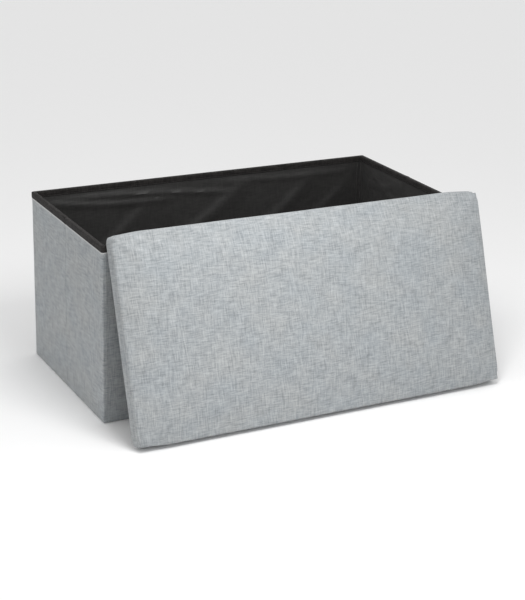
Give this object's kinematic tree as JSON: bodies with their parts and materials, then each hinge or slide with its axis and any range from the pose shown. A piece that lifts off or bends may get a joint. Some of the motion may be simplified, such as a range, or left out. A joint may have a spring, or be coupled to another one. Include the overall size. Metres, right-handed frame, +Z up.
{
  "type": "folding storage ottoman",
  "caption": "Fabric-covered storage ottoman that folds flat: creased end walls, a two-leaf base, a bound rim, and a loose padded lid leaning on its front.",
  "frame": {"origin": "on the floor, under the centre of the whole object's bounding box, the leaning lid included", "axes": "+X along the box's length, +Y from the leaning lid towards the box's back wall, +Z up"},
  "size_m": [0.7836, 0.5249, 0.3671],
  "materials": {
    "linen": "woven linen-look polyester, slubbed, pale blue-grey",
    "black_lining": "thin loose non-woven lining, black, slightly wrinkled",
    "binding_tape": "folded non-woven tape, brown-black, matt",
    "fibreboard": "raw fibreboard",
    "foam": "open-cell upholstery foam",
    "black_felt": "spunbond cloth, black, matt"
  },
  "bodies": {
    "front_wall": {"front_board": "fibreboard", "front_cover": "linen", "front_lining": "black_lining", "front_binding": "binding_tape", "left_base_gusset": "black_lining", "right_base_gusset": "black_lining"},
    "back_wall": {"back_board": "fibreboard", "back_cover": "linen", "back_lining": "black_lining", "back_binding": "binding_tape"},
    "left_front_leaf": {"left_front_board": "fibreboard", "left_front_cover": "linen", "left_front_lining": "black_lining", "left_front_binding": "binding_tape"},
    "left_rear_leaf": {"left_rear_board": "fibreboard", "left_rear_cover": "linen", "left_rear_lining": "black_lining", "left_rear_binding": "binding_tape"},
    "right_front_leaf": {"right_front_board": "fibreboard", "right_front_cover": "linen", "right_front_lining": "black_lining", "right_front_binding": "binding_tape"},
    "right_rear_leaf": {"right_rear_board": "fibreboard", "right_rear_cover": "linen", "right_rear_lining": "black_lining", "right_rear_binding": "binding_tape"},
    "base_front_leaf": {"base_front_undercloth": "black_felt", "base_front_board": "fibreboard", "base_front_lining": "black_lining"},
    "base_rear_leaf": {"base_rear_undercloth": "black_felt", "base_rear_board": "fibreboard", "base_rear_lining": "black_lining"},
    "lid": {"lid_board": "fibreboard", "lid_foam": "foam", "lid_cover": "linen", "lid_dust_cover": "black_felt"}
  },
  "joints": [
    {"name": "fold", "type": "hinge", "parent": "front_wall", "child": "left_front_leaf", "pos_m": [-0.38065, -0.10243, 0], "axis": [0, 0, -1], "range_deg": [0, 90], "deforming": ["left_base_gusset", "right_base_gusset"]},
    {"name": "left_crease", "type": "hinge", "parent": "left_front_leaf", "child": "left_rear_leaf", "pos_m": [-0.39275, 0.07447, 0], "axis": [0, 0, 1], "range_deg": [0, 180]},
    {"name": "left_rear_corner", "type": "hinge", "parent": "left_rear_leaf", "child": "back_wall", "pos_m": [-0.38065, 0.25137, 0], "axis": [0, 0, -1], "range_deg": [0, 90]},
    {"name": "right_front_corner", "type": "hinge", "parent": "front_wall", "child": "right_front_leaf", "pos_m": [0.35715, -0.10243, 0], "axis": [0, 0, 1], "range_deg": [0, 90]},
    {"name": "right_rear_corner", "type": "hinge", "parent": "back_wall", "child": "right_rear_leaf", "pos_m": [0.35715, 0.25137, 0], "axis": [0, 0, -1], "range_deg": [0, 90]},
    {"name": "base_front_hinge", "type": "hinge", "parent": "front_wall", "child": "base_front_leaf", "pos_m": [-0.01175, -0.10523, 0.0052], "axis": [1, 0, 0], "range_deg": [0, 90]},
    {"name": "base_rear_hinge", "type": "hinge", "parent": "back_wall", "child": "base_rear_leaf", "pos_m": [-0.01175, 0.25417, 0.0052], "axis": [-1, 0, 0], "range_deg": [0, 90]},
    {"name": "lid_lift", "type": "slide", "parent": "front_wall", "child": "lid", "axis": [0, 0, 1], "range_m": [0, 0.45]}
  ],
  "couplings": [
    {"joint": "left_crease", "follows": "fold", "ratio": 2},
    {"joint": "left_rear_corner", "follows": "fold", "ratio": 1},
    {"joint": "right_front_corner", "follows": "fold", "ratio": 1},
    {"joint": "right_rear_corner", "follows": "fold", "ratio": 1},
    {"joint": "base_front_hinge", "follows": "fold", "ratio": 1},
    {"joint": "base_rear_hinge", "follows": "fold", "ratio": 1}
  ]
}
